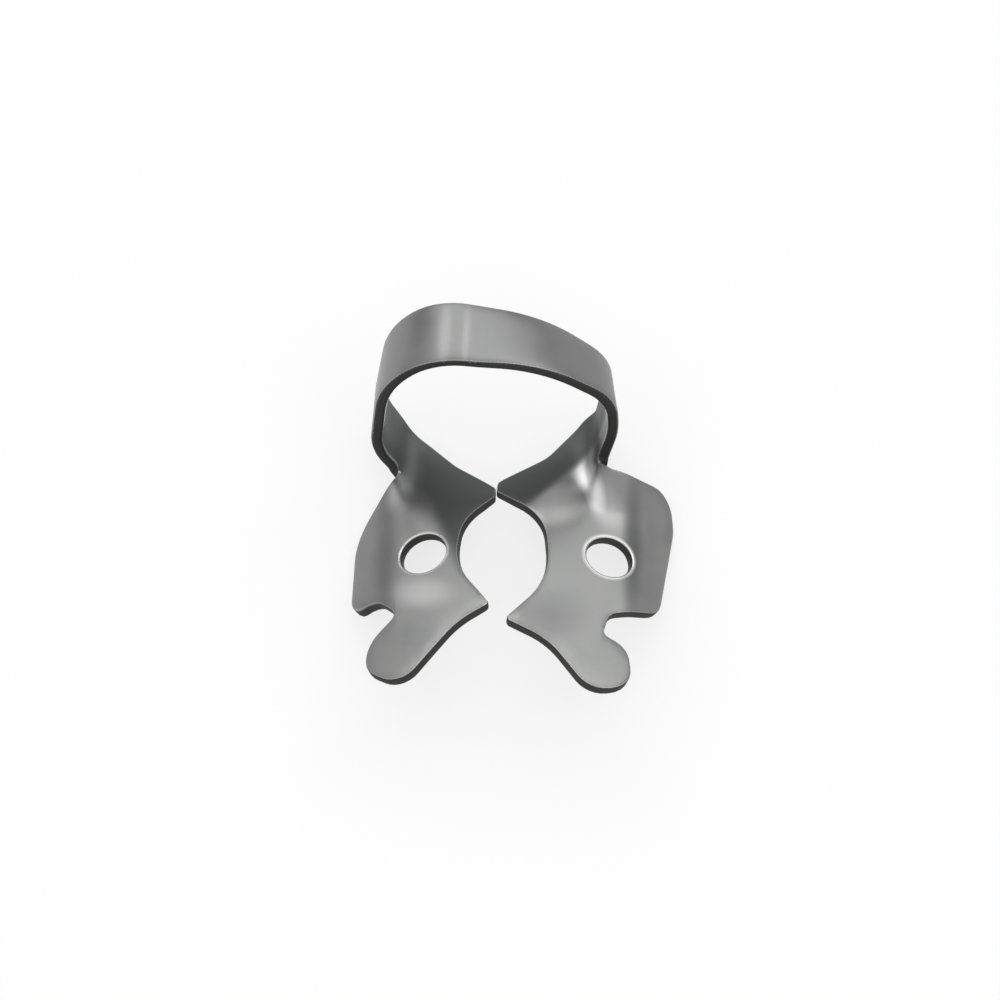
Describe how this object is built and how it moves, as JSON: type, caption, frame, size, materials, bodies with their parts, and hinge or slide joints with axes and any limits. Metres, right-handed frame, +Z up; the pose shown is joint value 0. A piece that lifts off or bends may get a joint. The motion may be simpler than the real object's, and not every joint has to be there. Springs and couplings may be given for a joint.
{
  "type": "rubber dam clamp",
  "caption": "Sprung steel clamp with a bow arching over paired jaws, pierced for forceps, that grips a tooth and holds back a rubber sheet.",
  "frame": {"origin": "middle of the bounding box's base, on the surface that the clamp lies on", "axes": "+Z up from the surface, +Y towards the bow, +X towards the wider jaw, on the right seen from the finger tips"},
  "size_m": [0.0252, 0.0296, 0.016],
  "materials": {
    "clamp_steel": "satin-polished stainless spring steel, edges tumbled round"
  },
  "bodies": {
    "root": {"clamp": "clamp_steel"}
  },
  "joints": []
}
